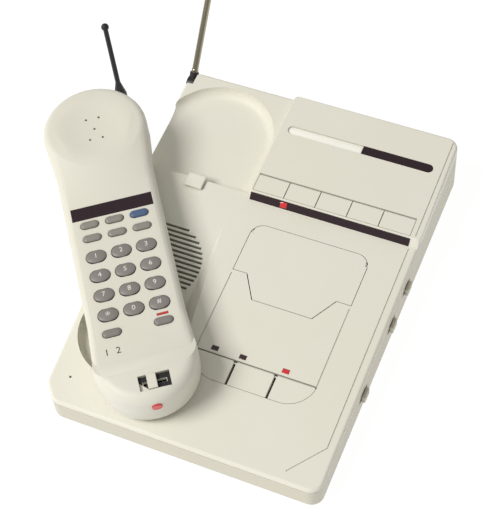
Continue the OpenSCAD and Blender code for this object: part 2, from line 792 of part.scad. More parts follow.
module rear_sockets() {
    color(black) {
        translate([jack_x, yb - wall - 0.1, socket_z]) rotate([90, 0, 0]) difference() {
            translate([-5.5, -line_h / 2, 0]) cube([11, line_h + 1, socket_depth]);
            translate([0, 0, -1]) cylinder(r = jack_r, h = 10);
        }
        translate([line_x, yb - wall - 0.1, socket_z]) rotate([90, 0, 0]) difference() {
            translate([-line_w / 2 - 1, -line_h / 2, 0]) cube([line_w + 2, line_h + 2, socket_depth]);
            translate([-line_w / 2 + 1, -line_h / 2 + 1.5, -1]) cube([line_w - 2, line_h - 2, 10]);
        }
    }
}

module tape_deck() {
    color(black) on_deck() translate([panel_mid, tape_well_y, tape_top]) {
        difference() {
            union() {
                translate([-tape_well_w / 2 - tape_wall - 6, -tape_well_d / 2 - tape_wall - 9, -tape_flange])
                    cube([tape_well_w + 2 * tape_wall + 12, tape_well_d + 2 * tape_wall + 9, tape_flange]);
                translate([-tape_well_w / 2 - tape_wall, -tape_well_d / 2 - tape_wall, -tape_box_h])
                    cube([tape_well_w + 2 * tape_wall, tape_well_d + 2 * tape_wall, tape_box_h]);
            }
            translate([-tape_well_w / 2, -tape_well_d / 2, -tape_well_t])
                cube([tape_well_w, tape_well_d, tall]);
        }
        for (s = [-1, 1]) translate([s * spool_gap / 2, 0, -tape_well_t]) cylinder(r = spool_r - 0.3, h = 8);
        translate([-8, -tape_well_d / 2, -tape_well_t]) cube([16, 1.6, 8]);
    }
}

module micro_cassette() {
    color([0.25, 0.25, 0.28]) on_deck()
        translate([panel_mid, tape_well_y + 0.2, tape_top - tape_well_t + 0.3]) difference() {
            translate([-cassette_w / 2, -cassette_d / 2, 0]) cube([cassette_w, cassette_d, cassette_t]);
            for (s = [-1, 1]) translate([s * spool_gap / 2, -0.2, -1]) cylinder(r = spool_r + 0.8, h = cassette_t + 2);
        }
}

module side_knob(i) {
    y = knob_y[i - 1];
    color(beige) translate([xr, y, knob_z(y)]) {
        translate([gap, -knob_w / 2, -knob_h / 2]) cube([knob_out, knob_w, knob_h]);
        translate([-wall - gap - 1, -knob_w / 2 + 1, -knob_neck / 2])
            cube([wall + 2 * gap + 1.5, knob_w - 2, knob_neck]);
        translate([-wall - gap - 1.4, -knob_w / 2 - 2, -knob_h / 2]) cube([1.4, knob_w + 4, knob_h]);
    }
}

module hook_tab() {
    color(ivory) on_deck() translate([hook_x, plateau_y - 4.5, 0]) {
        translate([-hook_w / 2, -1.5, -11]) cube([hook_w, 3, 13]);
        translate([-hook_w / 2, -3.5, 0.2]) cube([hook_w, 9.7, 2.2]);
    }
}

// Aerial of the base

module aerial_knuckle() {
    color(black) {
        translate([0, aerial_y, aerial_z]) {
            along_x(aerial_x - knuckle_w / 2, aerial_x + knuckle_w / 2, knuckle_r);
            along_x(aerial_x, pivot_end + 1, pivot_r);
            along_x(pivot_end + gap, pivot_end + 1.8, pivot_r + 1.2);
        }
        on_aerial() difference() {
            cylinder(r = tube_r + socket_wall, h = sleeve_l);
            translate([0, 0, aerial_seat]) cylinder(r = tube_r, h = 20);
        }
    }
}

module aerial_tube() {
    color(steel) on_aerial() translate([0, 0, aerial_seat]) difference() {
        cylinder(r = tube_r, h = tube_l);
        translate([0, 0, 4]) cylinder(r = tip_r + pin_gap, h = tube_l);
    }
}

module aerial_tip() {
    color(steel) on_aerial() translate([0, 0, aerial_seat]) {
        translate([0, 0, 5]) cylinder(r = tip_r, h = tube_l - 3);
        translate([0, 0, tube_l + gap]) cylinder(r = tube_r + 0.3, h = 4);
    }
}

// Handset

module hs_disc(v, r, top, rb, rt) {
    translate([0, v, 0]) disc(r, -hs_t, top, rb, rt);
}

module handset_outer() {
    hull() {
        hs_disc(hs_ear_v, hs_ear_r, hs_ear_rise, hs_back_round, hs_round);
        hs_disc(neck_v, neck_r, 0, hs_back_round, hs_round);
    }
    hull() {
        hs_disc(neck_v, neck_r, 0, hs_back_round, hs_round);
        hs_disc(belly_v, hs_waist_r, 0, hs_back_round, hs_round);
    }
    hull() {
        hs_disc(belly_v, hs_waist_r, 0, hs_back_round, hs_round);
        hs_disc(-hs_mouth_v, hs_mouth_r, 0, hs_back_round, hs_round);
    }
    intersection() {
        translate([0, -hs_mouth_v, 0]) disc(hs_mouth_r, -hs_split - 4, hs_mouth_rise, 1, hs_mouth_round);
        translate([0, -hs_mouth_v + crease_v, 0]) rotate([crease_angle, 0, 0])
            translate([-hs_mouth_r, -4 * hs_mouth_r, -3 * hs_t]) cube([2 * hs_mouth_r, 4 * hs_mouth_r, 6 * hs_t]);
    }
}

module handset_inner() {
    w = hs_wall;
    hull() {
        translate([0, hs_ear_v, 0]) disc(hs_ear_r - w, -hs_t + hs_floor, -w, 5, 3);
        translate([0, belly_v, 0]) disc(hs_waist_r - w, -hs_t + hs_floor, -w, 5, 3);
    }
    hull() {
        translate([0, belly_v, 0]) disc(hs_waist_r - w, -hs_t + hs_floor, -w, 5, 3);
        translate([0, -hs_mouth_v, 0]) disc(hs_mouth_r - w, -hs_t + hs_floor, -w, 5, 3);
    }
}

module cover_channel(g) {
    translate([-cover_w / 2 - g, -hs_mouth_v - 2 * hs_mouth_r, -hs_t - 5])
        cube([cover_w + 2 * g, hs_mouth_v + 2 * hs_mouth_r + cover_v + g, 5 + cover_t + g]);
}

module handset_front() {
    color(ivory) on_handset() difference() {
        intersection() {
            handset_outer();
            translate([-50, -150, -hs_split]) cube([100, 350, 40]);
        }
        handset_inner();
        intersection() {
            translate([0, -hs_mouth_v, -hs_wall - 1]) cylinder(r = hs_mouth_r - 6, h = hs_mouth_rise + 1 - switch_depth);
            translate([-50, -hs_mouth_v - 53, -10]) cube([100, 50, 40]);
        }
        for (p = digit_at) translate([p[0], p[1], -5]) linear_extrude(20) stadium(digit_w + 2 * gap, digit_d + 2 * gap);
        for (p = concat(func_at, low_at))
            translate([p[0], p[1], -5]) linear_extrude(20) stadium(func_w + 2 * gap, func_d + 2 * gap);
        translate([-band_w / 2, band_v - band_d / 2, -band_t]) cube([band_w, band_d, 10]);
        translate([0, hs_ear_v, hs_ear_rise - dish_depth + dish_ball]) sphere(dish_ball);
        translate([0, hs_ear_v, -hs_wall - 2])
            cylinder(r = ear_cap_r + gap, h = hs_wall + 2 + hs_ear_rise - dish_depth - ear_wall);
        for (p = [[0, 0], [-4.2, 8.2], [4.2, 8.2], [-4.2, -8.2], [4.2, -8.2]])
            translate([p[0], hs_ear_v + p[1], -5]) cylinder(r = 0.8, h = 20);
        translate([switch_u - switch_w / 2, switch_v - switch_d / 2, hs_mouth_rise - switch_depth])
            cube([switch_w, switch_d, 10]);
        translate([switch_u - switch_travel - 2, switch_v - 1.2, -hs_wall]) cube([2 * switch_travel + 4, 2.4, 20]);
        translate([led_u, -hs_mouth_v - hs_mouth_r + 4, led_h]) rotate([90, 0, 0])
            linear_extrude(10) stadium(led_size[0] + gap, led_size[1] + gap);
        translate([hs_aerial_u, hs_aerial_v - 8, hs_aerial_h]) rotate([-90, 0, 0])
            cylinder(r = aerial_root_r + pin_gap, h = 40);
    }
}

module handset_back() {
    color(ivory) on_handset() difference() {
        intersection() {
            handset_outer();
            translate([-50, -150, -hs_t - 5]) cube([100, 350, hs_t + 5 - hs_split]);
        }
        handset_inner();
        cover_channel(gap / 2);
        translate([-cover_w / 2 + 3, cover_v - 62, -hs_t - 1]) cube([cover_w - 6, 56, 10]);
        for (s = [-1, 1]) translate([s * contact_u - 2, contact_v - 4, -hs_t - 1]) cube([4, 8, 1.8]);
    }
}

module battery_cover() {
    color(ivory) on_handset() intersection() {
        translate([0, 0, 0]) hull() {
            hs_disc(belly_v, hs_waist_r, 0, hs_back_round, hs_round);
            hs_disc(-hs_mouth_v, hs_mouth_r, 0, hs_back_round, hs_round);
        }
        translate([-cover_w / 2, -hs_mouth_v - hs_mouth_r, -hs_t])
            cube([cover_w, hs_mouth_v + hs_mouth_r + cover_v, cover_t]);
    }
}

module battery_pack() {
    color([0.15, 0.35, 0.65]) on_handset() for (i = [-1:1])
        translate([i * (2 * cell_r + 0.4), cell_v + cell_l / 2, cell_h]) rotate([90, 0, 0]) cylinder(r = cell_r, h = cell_l);
}

module handset_board() {
    color(board_green) on_handset() {
        translate([-25, -48, hs_board_top - hs_board_t]) cube([50, 138, hs_board_t]);
        translate([-14, 66, hs_board_top - hs_board_t - 3]) cube([28, 20, 3]);
        translate([-8, -hs_mouth_v - 22, hs_board_top - hs_board_t]) cube([16, 30, hs_board_t]);
        translate([0, -hs_mouth_v - 17, hs_board_top]) cylinder(r = 3, h = 3);
    }
}

module earpiece() {
    top = hs_ear_rise - dish_depth - ear_wall - 0.1;
    color(black) on_handset() translate([0, hs_ear_v, 0]) {
        translate([0, 0, top - 3]) cylinder(r = ear_cap_r, h = 3);
        translate([0, 0, top - 8]) cylinder(r = 9, h = 6);
    }
}

module handset_band() {
    color(black) on_handset() translate([-band_w / 2 + gap / 3, band_v - band_d / 2 + gap / 3, -band_t])
        cube([band_w - gap * 2 / 3, band_d - gap * 2 / 3, band_t + 0.15]);
}

module handset_lens() {
    color(red) on_handset() translate([led_u, -hs_mouth_v - hs_mouth_r + 3.4, led_h]) rotate([90, 0, 0])
        linear_extrude(4.2) stadium(led_size[0], led_size[1]);
}

module handset_aerial() {
    color(black) on_handset() translate([hs_aerial_u, hs_aerial_v, hs_aerial_h]) rotate([-90, 0, 0]) {
        translate([0, 0, -7]) cylinder(r = aerial_root_r, h = 10);
        translate([0, 0, 3]) cylinder(r1 = aerial_root_r, r2 = hs_rod_r, h = 10);
        translate([0, 0, 10]) cylinder(r = hs_rod_r, h = hs_aerial_l - 10);
        translate([0, 0, hs_aerial_l]) sphere(2.7);
    }
}

module handset_contacts() {
    color(steel) on_handset() for (s = [-1, 1])
        translate([s * contact_u - 2 + gap / 3, contact_v - 4 + gap / 3, -hs_t + 0.1])
            cube([4 - gap * 2 / 3, 8 - gap * 2 / 3, 0.7]);
}

module talk_switch() {
    color(ivory) on_handset() translate([switch_u - 1.5, switch_v, 0]) {
        translate([-switch_knob / 2, -switch_d / 2 + gap, hs_mouth_rise - switch_depth + gap / 2])
            cube([switch_knob, switch_d - 2 * gap, switch_depth + 0.8]);
        translate([-1, -0.9, hs_mouth_rise - switch_depth - 4]) cube([2, 1.8, 5]);
        translate([-3, -2.5, hs_mouth_rise - switch_depth - 4]) cube([6, 5, 1.2]);
    }
}

// A key of the handset: domed cap, a rim that keeps it in the case, and a stub over its switch
module phone_key(p, w, d, c) {
    rise = 1.5;
    ball = 22;
    rim_top = -hs_wall - 0.6;
    color(c) on_handset() translate([p[0], p[1], 0]) {
        intersection() {
            translate([0, 0, rim_top - 0.5]) linear_extrude(rise + 5) stadium(w, d);
            translate([0, 0, rise - ball]) sphere(ball);
        }
        translate([0, 0, rim_top - 1]) linear_extrude(1) stadium(w + 1.6, d + 1.6);
        translate([0, 0, hs_board_top + key_travel + 0.1]) cylinder(r = 1.8, h = rim_top - hs_board_top - key_travel - 0.5);
    }
}

base_bottom_case();
base_top_case();
rubber_feet();
case_screws();
main_board();
loudspeaker();
dark_windows();
status_lenses();
charge_contacts();
rear_sockets();
tape_deck();
micro_cassette();
hinge_rods();
tape_lid();
for (i = [1:key_count])
    message_key(i);
for (i = [1:3]) {
    paddle(i);
    side_knob(i);
}
hook_tab();
aerial_knuckle();
aerial_tube();
aerial_tip();
handset_front();
handset_back();
battery_pack();
battery_cover();
handset_board();
earpiece();
handset_band();
handset_lens();
handset_aerial();
handset_contacts();
talk_switch();
for (i = [0:5])
    phone_key(func_at[i], func_w, func_d, dark_key);
for (i = [0:11])
    phone_key(digit_at[i], digit_w, digit_d, dark_key);
for (i = [0:1])
    phone_key(low_at[i], func_w, func_d, dark_key);
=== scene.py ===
# %% [markdown]
# # A cordless telephone on its base station
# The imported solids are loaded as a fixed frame, in metres. Shapes that are right as solids get better
# finishes. Shells, keys and trim are modelled again here, with soft edges, and every new piece rides on a
# body of the frame.

# %% Load the solids
import json
import math

import bmesh
import bpy
from mathutils import Matrix, Vector


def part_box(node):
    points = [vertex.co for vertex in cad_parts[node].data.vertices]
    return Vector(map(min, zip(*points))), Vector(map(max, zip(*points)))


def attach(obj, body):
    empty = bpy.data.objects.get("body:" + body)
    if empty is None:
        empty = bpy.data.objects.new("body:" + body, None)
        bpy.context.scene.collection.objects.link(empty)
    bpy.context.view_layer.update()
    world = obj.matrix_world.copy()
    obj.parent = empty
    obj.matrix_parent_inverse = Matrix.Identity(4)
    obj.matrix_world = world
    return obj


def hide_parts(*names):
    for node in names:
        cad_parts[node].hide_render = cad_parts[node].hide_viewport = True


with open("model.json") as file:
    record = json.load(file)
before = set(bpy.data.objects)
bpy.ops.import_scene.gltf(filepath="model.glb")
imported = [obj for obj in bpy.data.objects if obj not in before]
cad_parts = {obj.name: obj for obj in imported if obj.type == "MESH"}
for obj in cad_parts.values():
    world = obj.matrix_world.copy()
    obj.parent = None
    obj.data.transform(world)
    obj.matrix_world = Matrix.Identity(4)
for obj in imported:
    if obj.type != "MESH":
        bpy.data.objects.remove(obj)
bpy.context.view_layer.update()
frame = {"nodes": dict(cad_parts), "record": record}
nodes = frame["nodes"]
MM = 0.001

# %% [markdown]
# ## Places to work from
# The deck of the base slopes up to the rear, and the handset lies turned on it. A piece is easier to draw
# flat, so each of these two places gets a matrix, and a finished mesh is carried there with all its points.

# %% Work places
DECK_RISE = 16
DECK_DEPTH = 258
DECK_TILT = math.atan(DECK_RISE / DECK_DEPTH)
DECK_MIDDLE = 28 * MM
HAND_AT = Vector((-57.75, -49.3, 25.2)) * MM
HAND_TURN = math.radians(35.5)
on_deck = Matrix.Translation((0, 0, DECK_MIDDLE)) @ Matrix.Rotation(DECK_TILT, 4, "X")
on_handset = on_deck @ Matrix.Translation(HAND_AT) @ Matrix.Rotation(HAND_TURN, 4, "Z")


def shift(x, y, z):
    """A move in millimetres."""
    return Matrix.Translation(Vector((x, y, z)) * MM)


print("deck tilt:", round(math.degrees(DECK_TILT), 2), "degrees")

# %% [markdown]
# ## Camera
# A long lens looks down on the base from its front right corner. The camera's own axes are written as the
# columns of a matrix, which is the plainest way to give a camera that is also rolled a little.

# %% Camera
CAMERA_AT = Vector((228.25, -442.6, 750.3)) * MM
CAMERA_RIGHT = Vector((0.9213, 0.3844, -0.0583))
CAMERA_AHEAD = Vector((-0.2641, 0.5089, -0.8193))
FOCAL_LENGTH = 99.6
SENSOR = 36
NEAREST = 0.01
FARTHEST = 50
ahead = CAMERA_AHEAD.normalized()
right = (CAMERA_RIGHT - ahead * CAMERA_RIGHT.dot(ahead)).normalized()
above = right.cross(ahead)
turn = Matrix((right, above, -ahead)).transposed()
bpy.ops.object.camera_add()
camera = bpy.context.object
camera.name = "photo_camera"
camera.matrix_world = Matrix.Translation(CAMERA_AT) @ turn.to_4x4()
camera.data.lens = FOCAL_LENGTH
camera.data.sensor_width = SENSOR
camera.data.clip_start = NEAREST
camera.data.clip_end = FARTHEST
bpy.context.scene.camera = camera
print("camera looks along", [round(v, 3) for v in ahead])

# %% [markdown]
# ## Floor and light
# A white floor, one large soft lamp at the front left and an even white surround. The lamp is wide, so the
# handset throws one soft shadow to its right, and it stands far off, so the light is even over the whole
# base. The floor glows by itself, as a light table does, so hardly any shadow falls on it.

# %% Floor and light
FLOOR_SIZE = 8
LAMP_AT = Vector((-1.35, -1.25, 2.2))
LAMP_AIM = Vector((0, 0, 0.03))
LAMP_SIZE = 1.2
LAMP_POWER = 61.0
LAMP_COLOUR = (1.0, 0.985, 0.955)
SURROUND_COLOUR = (1.0, 0.985, 0.96, 1)
SURROUND_STRENGTH = 0.40
bpy.ops.mesh.primitive_plane_add(size=FLOOR_SIZE, location=(0, 0, 0))
floor = bpy.context.object
floor.name = "floor"
bpy.ops.object.light_add(type="AREA", location=LAMP_AT)
lamp = bpy.context.object
lamp.name = "key_lamp"
lamp.data.shape = "SQUARE"
lamp.data.size = LAMP_SIZE
lamp.data.energy = LAMP_POWER
lamp.data.color = LAMP_COLOUR
lamp.rotation_euler = (LAMP_AIM - LAMP_AT).to_track_quat("-Z", "Y").to_euler()
world = bpy.data.worlds.new("surround")
bpy.context.scene.world = world
world.use_nodes = True
surround = world.node_tree.nodes["Background"].inputs
surround["Color"].default_value = SURROUND_COLOUR
surround["Strength"].default_value = SURROUND_STRENGTH
bpy.context.scene.view_settings.view_transform = "Standard"
print("lamp stands", round((LAMP_AIM - LAMP_AT).length, 2), "m from the base")

# %% [markdown]
# ## Shader sums
# A finish is a small tree of nodes. Written out by hand it gets long, so a node's output is wrapped in a
# class that knows how to add, subtract and multiply: then 1 - mask simply adds the right Math node.

# %% Shader sums
OBJECT_COORDS = 3
CREVICE_SAMPLES = 6


class Val:
    """A node's output that can stand in a sum."""

    def __init__(self, finish, socket):
        self.finish = finish
        self.socket = socket

    def math(self, operation, first, second):
        return self.finish.node("ShaderNodeMath", {"operation": operation}, {0: first, 1: second})

    def __add__(self, other):
        return self.math("ADD", self, other)

    def __sub__(self, other):
        return self.math("SUBTRACT", self, other)

    def __mul__(self, other):
        return self.math("MULTIPLY", self, other)

    def __rsub__(self, other):
        return self.math("SUBTRACT", other, self)

    __radd__ = __add__
    __rmul__ = __mul__


class Finish:
    """One material with a Principled shader, and short ways to add nodes to it."""

    def __init__(self, name, **sockets):
        self.material = bpy.data.materials.new(name)
        self.material.use_nodes = True
        self.tree = self.material.node_tree
        self.shader = self.tree.nodes["Principled BSDF"]
        self.at = self.node("ShaderNodeTexCoord", out=OBJECT_COORDS)
        for socket, value in sockets.items():
            self.give(socket, value)

    def node(self, kind, settings=None, inputs=None, out=0):
        made = self.tree.nodes.new(kind)
        for key, value in (settings or {}).items():
            setattr(made, key, value)
        for key, value in (inputs or {}).items():
            self.feed(made.inputs[key], value)
        return Val(self, made.outputs[out])

    def feed(self, socket, value):
        if isinstance(value, Val):
            self.tree.links.new(value.socket, socket)
        else:
            socket.default_value = value

    def give(self, socket, value):
        """Sets a socket of the shader; a keyword writes its spaces as underscores."""
        self.feed(self.shader.inputs[socket.replace("_", " ")], value)

    def noise(self, scale, detail, along=None):
        where = along or self.at
        return self.node("ShaderNodeTexNoise", None, {"Vector": where, "Scale": scale, "Detail": detail})

    def mix(self, share, first, second):
        return self.node("ShaderNodeMix", {"data_type": "RGBA"}, {0: share, 6: first, 7: second}, out=2)

    def stretched(self, scale):
        return self.node("ShaderNodeMapping", None, {"Vector": self.at, "Scale": scale})

    def bump(self, height, depth, strength):
        relief = {"Height": height, "Distance": depth, "Strength": strength}
        self.give("Normal", self.node("ShaderNodeBump", None, relief))

    def crevice(self, reach):
        """How deep a point lies in corners and joints, from an ambient occlusion node: 0 in the open. It is
        the mask for painted shade.
        """
        settings = {"samples": CREVICE_SAMPLES}
        return 1 - self.node("ShaderNodeAmbientOcclusion", settings, {"Distance": reach}, out=1)


def rgba(colour, tone=1.0):
    """A colour for a socket, made darker or lighter by a tone."""
    return (*[channel * tone for channel in colour], 1.0)


finishes = {}
print("shader helpers ready")

# %% [markdown]
# ## Moulded plastic
# The cases are old ivory plastic, satin, with a fine eroded grain and a little yellowing in clouds. Painted
# shade darkens the joints and corners. The grain is far smaller than a key, so it is bump and a faint
# speckle, not geometry.

# %% Plastics
GRAIN = 1500
FINE_GRAIN = GRAIN * 2.4
CLOUD = 16
YELLOWING = (0.97, 0.94, 0.85)
SPECK_TONE = 0.80
# Painted shade in joints and corners: its darkest tone, and how far from a wall it reaches.
JOINT_SHADE_TONE = 0.32
JOINT_SHADE_REACH = 2.2 * MM


def moulded(name, colour, roughness=0.5, speckle=0.10, joint_shade=0.5, grain_depth=0.00006):
    """Satin plastic: speckle is the strength of the fine colour grain, joint_shade that of the painted shade
    which darkens joints and corners.
    """
    made = Finish(name, Specular_IOR_Level=0.35)
    cloud = made.noise(scale=CLOUD, detail=4)
    speck = made.noise(scale=GRAIN, detail=2)
    fine = made.noise(scale=FINE_GRAIN, detail=2)
    warm = [channel * share for channel, share in zip(colour, YELLOWING)]
    base = made.mix((cloud - 0.42) * 0.9, rgba(colour), rgba(warm))
    base = made.mix((speck - 0.5) * (speckle * 6), base, rgba(colour, SPECK_TONE))
    # Painted shade: an ambient occlusion mask darkens joints and corners towards a dark tone of the colour.
    joint_shade_mask = made.crevice(JOINT_SHADE_REACH)
    made.give("Base Color", made.mix(joint_shade_mask * joint_shade, base, rgba(colour, JOINT_SHADE_TONE)))
    made.give("Roughness", roughness - 0.08 + fine * 0.16 + joint_shade_mask * 0.15)
    made.bump(speck * 0.6 + fine * 0.4, depth=grain_depth, strength=0.6)
    finishes[name] = made


moulded("ivory_plastic", (0.80, 0.785, 0.695))
moulded("handset_plastic", (0.745, 0.730, 0.640), roughness=0.46)
moulded("beige_plastic", (0.66, 0.630, 0.525), roughness=0.52)
moulded("black_plastic", (0.022, 0.020, 0.021), roughness=0.42, speckle=0.25, joint_shade=0.1)
moulded("dark_key", (0.250, 0.228, 0.218), roughness=0.40, speckle=0.22, joint_shade=0.65)
moulded("soft_key", (0.285, 0.265, 0.240), roughness=0.40, speckle=0.22, joint_shade=0.65)
moulded("blue_key", (0.085, 0.135, 0.240), roughness=0.36, speckle=0.22)
moulded("rubber", (0.020, 0.020, 0.020), roughness=0.8, speckle=0.3, joint_shade=0.0, grain_depth=0.00015)
moulded("white_print", (0.80, 0.80, 0.78), roughness=0.6, speckle=0.05, joint_shade=0.0)
moulded("slot_white", (0.95, 0.935, 0.875), speckle=0.05, joint_shade=0.4)
moulded("dark_print", (0.060, 0.055, 0.060), roughness=0.6, joint_shade=0.0)
moulded("red_print", (0.48, 0.055, 0.045), roughness=0.6, joint_shade=0.0)
print("plastics:", len(finishes))

# %% [markdown]
# ## Clear, metal and board finishes
# Windows and lenses are glossy with a faint haze of fingerprints. Metals get fine lines along their length
# in the gloss and as a faint relief. The boards have a lacquer with copper tracks showing through.

# %% Other finishes
HAZE = 0.12
FLECK_TONE = 1.35
STAIN_TONE = 0.78
LACQUER = (0.012, 0.10, 0.045)
TRACK = (0.10, 0.20, 0.06)
PAPER_DARK = (0.12, 0.12, 0.12)
PAPER_LIGHT = (0.13, 0.13, 0.13)


def glossy(name, colour, roughness, glow=0.0, coat=0.5, shine=0.5):
    """Polished plastic with an uneven haze; glow is for a lens that is lit."""
    made = Finish(name, Coat_Weight=coat, Coat_Roughness=0.05, Specular_IOR_Level=shine)
    smear = made.noise(scale=70, detail=4)
    fleck = made.noise(scale=900, detail=2)
    base = made.mix(fleck, rgba(colour), rgba(colour, FLECK_TONE))
    made.give("Base Color", base)
    made.give("Roughness", roughness + smear * HAZE)
    if glow:
        made.give("Emission Color", base)
        made.give("Emission Strength", glow)
    finishes[name] = made


def metal(name, colour, roughness, lines):
    """Drawn or turned metal; lines is the stretch of the fine marks along each axis."""
    made = Finish(name, Metallic=1.0)
    mark = made.noise(scale=1.0, detail=3, along=made.stretched(lines))
    stain = made.noise(scale=60, detail=3)
    made.give("Base Color", made.mix(stain * 0.5, rgba(colour), rgba(colour, STAIN_TONE)))
    made.give("Roughness", roughness + mark * 0.18)
    made.bump(mark, depth=0.00002, strength=0.4)
    finishes[name] = made


def board(name):
    """Green lacquer over copper tracks on a square grid."""
    made = Finish(name, Coat_Weight=0.4)
    grid = {"Vector": made.at, "Scale": 60.0, "Mortar Size": 0.05}
    cell = made.node("ShaderNodeTexBrick", None, grid, out=1)
    patch = made.noise(scale=240, detail=2)
    made.give("Base Color", made.mix(cell * 0.5, rgba(LACQUER), rgba(TRACK)))
    made.give("Roughness", 0.3 + patch * 0.25)
    made.bump(cell, depth=0.00003, strength=0.5)
    finishes[name] = made


glossy("dark_window", (0.026, 0.015, 0.019), roughness=0.34, coat=0.0, shine=0.22)
glossy("smoky_plastic", (0.045, 0.045, 0.052), roughness=0.15)
glossy("red_lens", (0.50, 0.025, 0.03), roughness=0.12, glow=0.12)
glossy("dark_lens", (0.035, 0.014, 0.015), roughness=0.12)
glossy("battery_wrap", (0.03, 0.12, 0.33), roughness=0.25)
metal("steel", (0.55, 0.55, 0.56), roughness=0.28, lines=(900, 900, 2500))
metal("bright_metal", (0.40, 0.36, 0.27), roughness=0.14, lines=(2600, 30, 30))
metal("contact_metal", (0.80, 0.60, 0.28), roughness=0.22, lines=(1500, 1500, 1500))
board("circuit_board")
floor_finish = Finish("floor_paper", Roughness=0.9, Emission_Strength=0.93)
paper = floor_finish.noise(scale=30, detail=4)
floor_finish.give("Base Color", floor_finish.mix(paper, rgba(PAPER_DARK), rgba(PAPER_LIGHT)))
floor_finish.give("Emission Color", rgba((1, 1, 1)))
floor.data.materials.append(floor_finish.material)
print("finishes:", len(finishes))

# %% [markdown]
# ## Finishes on the solids
# The record names a material slot for each solid, so the slots are read from there and each solid gets its
# finish.

# %% Dress the solids
slot_of = {part["node"]: part["material_slot"] for part in frame["record"]["subparts"]}
body_of = {n: body for body, names in frame["record"]["behaviour"]["bodies"].items() for n in names}
for node_name, solid in nodes.items():
    solid.data.materials.clear()
    solid.data.materials.append(finishes[slot_of[node_name]].material)
print("dressed:", len(nodes), "solids")

# %% [markdown]
# ## Tools for the shells
# A solid's mesh is loose triangles, so a copy is merged first, and triangles in one plane are joined. Then
# long sharp edges, picked in code by their fold and length, get a small bevel: a moulding never has a razor
# edge, and the bevel catches the light. Normals weighted by area then keep the large flat faces flat, so
# only the bevel looks round.

# %% Shell tools
MERGE = 2e-6
FLAT_FOLD = math.radians(0.6)
SMOOTH_FOLD = math.radians(34)


def only(piece):
    """Selects one object and nothing else."""
    bpy.ops.object.select_all(action="DESELECT")
    piece.select_set(True)
    bpy.context.view_layer.objects.active = piece


def enter(piece):
    """Opens one piece in edit mode."""
    only(piece)
    bpy.ops.object.mode_set(mode="EDIT")


def leave():
    """Goes back to object mode."""
    bpy.ops.object.mode_set(mode="OBJECT")


def apply(piece, modifier):
    """Makes a modifier's result the piece's own mesh."""
    only(piece)
    bpy.ops.object.modifier_apply(modifier=modifier.name)


def smooth(piece):
    """Shades smooth across every fold but the sharp ones."""
    only(piece)
    bpy.ops.object.shade_smooth_by_angle(angle=SMOOTH_FOLD)
    return piece


def flatten(piece):
    """Weights the normals by the area of the faces."""
    weigh = piece.modifiers.new("weigh", "WEIGHTED_NORMAL")
    weigh.mode = "FACE_AREA"
    weigh.keep_sharp = True
    apply(piece, weigh)
    return piece


def finish_piece(piece, body, slot, replaced=(), finish=None):
    """Gives a piece its finish and its body, and says which solids it stands for."""
    piece.data.materials.clear()
    piece.data.materials.append(finishes[finish or slot].material)
    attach(piece, body)
    if replaced:
        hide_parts(*replaced)
    return piece


def copy_of(node_name):
    """A merged copy of a solid's mesh, with flat faces joined."""
    made = bpy.data.objects.new(node_name + "_shell", nodes[node_name].data.copy())
    bpy.context.scene.collection.objects.link(made)
    enter(made)
    bpy.ops.mesh.select_all(action="SELECT")
    bpy.ops.mesh.customdata_custom_splitnormals_clear()
    bpy.ops.mesh.remove_doubles(threshold=MERGE)
    bpy.ops.mesh.dissolve_limited(angle_limit=FLAT_FOLD)
    leave()
    return made


def soften(piece, width, least, fold=50, where=None, segments=2):
    """Bevels sharp edges longer than least millimetres, where a test on the edge's middle allows it."""
    enter(piece)
    bpy.ops.mesh.select_all(action="DESELECT")
    shape = bmesh.from_edit_mesh(piece.data)
    picked = 0
    for edge in shape.edges:
        if len(edge.link_faces) != 2 or edge.calc_length() < least * MM:
            continue
        if edge.calc_face_angle() < math.radians(fold):
            continue
        middle = (edge.verts[0].co + edge.verts[1].co) / 2
        if where is None or where(middle):
            edge.select = True
            picked += 1
    shape.select_flush(True)
    bmesh.update_edit_mesh(piece.data)
    if picked:
        bpy.ops.mesh.bevel(offset=width * MM, segments=segments, affect="EDGES", clamp_overlap=True)
    leave()
    return flatten(smooth(piece))


def stand_in(piece, node_name):
    """Lets a finished copy stand for its solid."""
    return finish_piece(piece, body_of[node_name], slot_of[node_name], [node_name])


def shell(node_name, width=0.0, **more):
    """A copy that stands for a solid, softened where a width is given."""
    made = copy_of(node_name)
    if width:
        soften(made, width, **more)
    else:
        smooth(made)
    return stand_in(made, node_name)


print("shell tools ready")

# %% [markdown]
# ## Tools for new pieces
# New pieces start from a primitive at its size. Faces are picked in code by where they are and which way
# they look, and then inset, extruded or beveled, as by hand in edit mode. At the end the mesh is carried to
# its place.

# %% Tools for new pieces
FACING = 0.9
ASIDE = 0.1


def faces_up(spot, normal):
    return normal.z > FACING


def faces_down(spot, normal):
    return normal.z < -FACING


def faces_aside(spot, normal):
    return abs(normal.z) < ASIDE


def start_from(name, add, **size):
    """Adds a primitive with nothing else selected."""
    bpy.ops.object.select_all(action="DESELECT")
    add(**size)
    made = bpy.context.object
    made.name = name
    return made


def pick_faces(piece, test):
    """Leaves edit mode on, with the faces selected whose middle and normal pass a test, in millimetres."""
    enter(piece)
    bpy.ops.mesh.select_mode(type="FACE")
    bpy.ops.mesh.select_all(action="DESELECT")
    shape = bmesh.from_edit_mesh(piece.data)
    for face in shape.faces:
        face.select = test(face.calc_center_median() / MM, face.normal)
    bmesh.update_edit_mesh(piece.data)


def rings(piece, test, steps):
    """Insets the faces that pass a test, ring after ring; a step is (inset, rise) in millimetres."""
    pick_faces(piece, test)
    for inset, rise in steps:
        bpy.ops.mesh.inset(thickness=inset * MM, depth=rise * MM)
    leave()


def cut(spot, facing, **more):
    """Cuts the whole mesh that is open in edit mode along a plane."""
    bpy.ops.mesh.select_all(action="SELECT")
    bpy.ops.mesh.bisect(plane_co=spot, plane_no=facing, **more)


